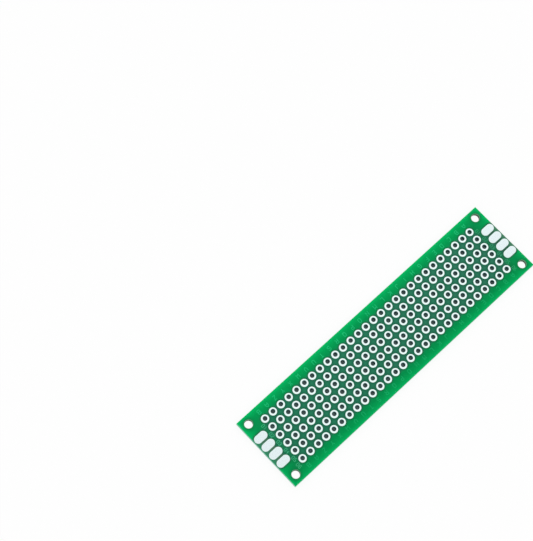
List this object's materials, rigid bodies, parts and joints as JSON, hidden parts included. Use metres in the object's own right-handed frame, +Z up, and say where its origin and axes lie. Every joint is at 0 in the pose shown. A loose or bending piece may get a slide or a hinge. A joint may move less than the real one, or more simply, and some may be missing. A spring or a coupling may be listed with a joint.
{
  "type": "prototype board",
  "caption": "Flat double-sided green circuit board with a grid of plated through holes, oblong end pads and corner fixing holes, for building circuits.",
  "frame": {"origin": "middle of the board's underside, on the plane that its pads rest on", "axes": "+X along the board from lettered line A, +Y across it from row 1, +Z up out of the top face"},
  "size_m": [0.08, 0.02, 0.0012],
  "materials": {
    "laminate": "satin",
    "solder_mask": "gloss",
    "tin": "satin"
  },
  "bodies": {
    "root": {"laminate": "laminate", "solder_mask_top": "solder_mask", "solder_mask_bottom": "solder_mask", "plated_holes_a": "tin", "plated_holes_b": "tin", "plated_holes_c": "tin", "plated_holes_d": "tin", "plated_holes_e": "tin", "plated_holes_f": "tin", "plated_holes_g": "tin", "plated_holes_h": "tin", "plated_holes_i": "tin", "plated_holes_j": "tin", "plated_holes_k": "tin", "plated_holes_l": "tin", "plated_holes_m": "tin", "plated_holes_n": "tin", "plated_holes_o": "tin", "plated_holes_p": "tin", "plated_holes_q": "tin", "plated_holes_r": "tin", "plated_holes_s": "tin", "plated_holes_t": "tin", "plated_holes_u": "tin", "plated_holes_v": "tin", "plated_holes_w": "tin", "plated_holes_x": "tin", "plated_holes_y": "tin", "plated_holes_z": "tin", "plated_holes_a2": "tin", "plated_holes_b2": "tin", "end_pad_left_top_2": "tin", "end_pad_left_top_3": "tin", "end_pad_left_top_4": "tin", "end_pad_left_top_5": "tin", "end_pad_right_top_2": "tin", "end_pad_right_top_3": "tin", "end_pad_right_top_4": "tin", "end_pad_right_top_5": "tin", "end_pad_left_bottom_2": "tin", "end_pad_left_bottom_3": "tin", "end_pad_left_bottom_4": "tin", "end_pad_left_bottom_5": "tin", "end_pad_right_bottom_2": "tin", "end_pad_right_bottom_3": "tin", "end_pad_right_bottom_4": "tin", "end_pad_right_bottom_5": "tin"}
  },
  "joints": []
}
